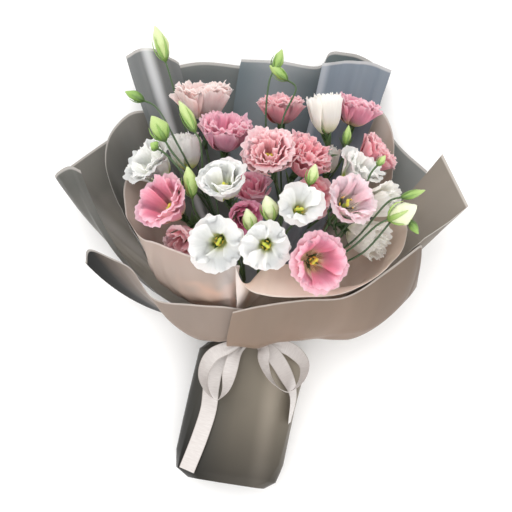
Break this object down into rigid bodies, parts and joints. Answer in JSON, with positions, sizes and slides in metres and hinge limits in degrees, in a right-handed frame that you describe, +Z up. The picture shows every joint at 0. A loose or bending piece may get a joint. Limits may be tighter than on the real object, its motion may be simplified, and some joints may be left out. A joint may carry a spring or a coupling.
{
  "type": "wrapped lisianthus bouquet",
  "caption": "Hand-tied lisianthus bouquet lying on its back, wrapped in tissue and frosted film with a ribbon bow at the waist.",
  "frame": {"origin": "middle of the bouquet's box, on the table that it lies on", "axes": "+Y along the stems, from the cut ends to the blooms; +Z up from the table, the side that the picture shows; +X to the right in the picture"},
  "size_m": [0.4936, 0.5644, 0.2107],
  "materials": {
    "centres": "matte pollen and stigma",
    "coral_petals": "soft petal skin, fine veins, slight sheen",
    "cream_petals": "soft petal skin, fine veins, slight sheen",
    "dark_film": "frosted translucent film, satin",
    "deep_pink_petals": "soft petal skin, fine veins, slight sheen",
    "grey_film": "frosted translucent film, satin",
    "light_pink_petals": "soft petal skin, fine veins, slight sheen",
    "pink_petals": "soft petal skin, fine veins, slight sheen",
    "ribbon": "satin ribbon, soft sheen",
    "rose_petals": "soft petal skin, fine veins, slight sheen",
    "salmon_petals": "soft petal skin, fine veins, slight sheen",
    "sleeve_film": "frosted translucent film, satin",
    "stems": "smooth waxy green stems, sepals and buds",
    "string": "twisted jute string",
    "taupe_film": "frosted translucent film, satin",
    "tissue": "thin crinkled tissue, matte",
    "white_petals": "soft petal skin, fine veins, slight sheen"
  },
  "bodies": {
    "root": {"bloom_coral_middle": "coral_petals", "bloom_coral_right": "coral_petals", "bloom_cream_back": "cream_petals", "bloom_cream_left": "cream_petals", "bloom_cream_low_side": "cream_petals", "bloom_cream_right": "cream_petals", "bloom_cream_side": "cream_petals", "bloom_deep_pink": "deep_pink_petals", "bloom_dusky_middle": "deep_pink_petals", "bloom_green_cream": "cream_petals", "bloom_light_right": "light_pink_petals", "bloom_pink_back": "coral_petals", "bloom_pink_corner": "pink_petals", "bloom_pink_left": "pink_petals", "bloom_pink_low": "pink_petals", "bloom_pink_low_right": "pink_petals", "bloom_pink_under": "coral_petals", "bloom_rose_middle": "rose_petals", "bloom_rose_upper": "pink_petals", "bloom_salmon_top": "salmon_petals", "bloom_white_front": "white_petals", "bloom_white_left": "white_petals", "bloom_white_low": "white_petals", "bloom_white_middle": "white_petals", "bloom_white_upper": "white_petals", "centre_light_right": "centres", "centre_pink_left": "centres", "centre_pink_low_right": "centres", "centre_rose_middle": "centres", "centre_white_front": "centres", "centre_white_low": "centres", "centre_white_middle": "centres", "centre_white_upper": "centres", "film_back": "dark_film", "film_back_centre": "dark_film", "film_back_left": "grey_film", "film_back_right": "grey_film", "film_front_left": "taupe_film", "film_front_right": "taupe_film", "film_side_left": "grey_film", "film_side_right": "taupe_film", "film_sleeve": "sleeve_film", "film_wing_left": "grey_film", "film_wing_right": "taupe_film", "ribbon": "ribbon", "spray_back": "stems", "spray_front": "stems", "spray_front_right": "stems", "spray_left": "stems", "spray_left_back": "stems", "spray_left_front": "stems", "spray_middle": "stems", "spray_right": "stems", "spray_right_back": "stems", "stem_tie": "string", "tissue_left": "tissue", "tissue_right": "tissue"}
  },
  "joints": []
}
